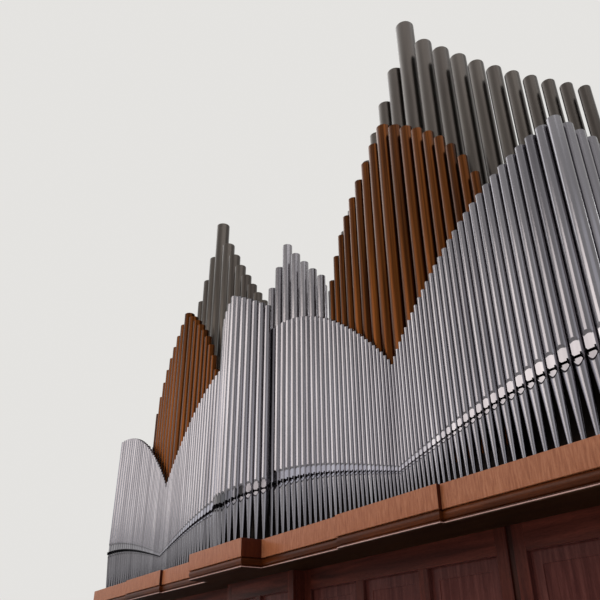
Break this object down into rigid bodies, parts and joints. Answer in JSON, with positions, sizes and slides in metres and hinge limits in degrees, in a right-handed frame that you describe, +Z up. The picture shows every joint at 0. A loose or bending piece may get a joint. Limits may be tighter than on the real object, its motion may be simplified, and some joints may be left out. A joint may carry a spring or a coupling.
{
  "type": "pipe organ",
  "caption": "Pipe organ front: graded metal pipes in waves round a bowed middle tower, on a moulded platform over a panelled timber base, with taller pipes rising in steps behind.",
  "frame": {"origin": "on the floor, in the middle of the width and of the depth", "axes": "+Z up, +X to the right as seen from the front, -Y towards the listener"},
  "size_m": [8.54, 1.323, 8.11],
  "materials": {
    "tin_pipe": "polished tin-lead alloy",
    "copper_pipe": "lacquered copper, darkened to warm brown",
    "zinc_pipe": "dull grey zinc",
    "frame_wood": "dark mahogany, polished",
    "panel_wood": "dark mahogany, polished",
    "plinth_wood": "dark mahogany, polished",
    "fascia_wood": "lacquered veneer, orange brown",
    "moulding_wood": "dark stained moulding",
    "deck_wood": "plain planed softwood",
    "chest_wood": "dark stained wood",
    "rail_wood": "dark stained wood"
  },
  "bodies": {
    "root": {"plinth": "plinth_wood", "front_frame_middle": "frame_wood", "front_frame_left": "frame_wood", "front_frame_right": "frame_wood", "front_frame_left_end": "frame_wood", "front_frame_right_end": "frame_wood", "front_strips": "plinth_wood", "front_panels": "panel_wood", "side_frame_left": "frame_wood", "side_frame_right": "frame_wood", "side_panels": "panel_wood", "back_frame": "frame_wood", "back_panels": "panel_wood", "soffit": "deck_wood", "joists_row": "deck_wood", "rim_boards": "deck_wood", "deck": "deck_wood", "bead_moulding": "moulding_wood", "fascia_boards": "fascia_wood", "fascia_tower": "fascia_wood", "toe_boards": "chest_wood", "tower_toe_board": "chest_wood", "copper_chests": "chest_wood", "tall_chests": "chest_wood", "centre_chest": "chest_wood", "foot_screen": "chest_wood", "rail_left": "rail_wood", "rail_right": "rail_wood", "rail_tower": "rail_wood", "side_rails": "rail_wood", "copper_rails": "rail_wood", "tall_rails": "rail_wood", "centre_rail": "rail_wood", "inner_flat_left": "tin_pipe", "inner_flat_right": "tin_pipe", "outer_flat_left": "tin_pipe", "outer_flat_right": "tin_pipe", "tower_pipes": "tin_pipe", "side_pipes_left": "tin_pipe", "side_pipes_right": "tin_pipe", "copper_pipes_left": "copper_pipe", "copper_pipes_right": "copper_pipe", "tall_pipes_left": "zinc_pipe", "tall_pipes_right": "zinc_pipe", "centre_pipes": "zinc_pipe"}
  },
  "joints": []
}
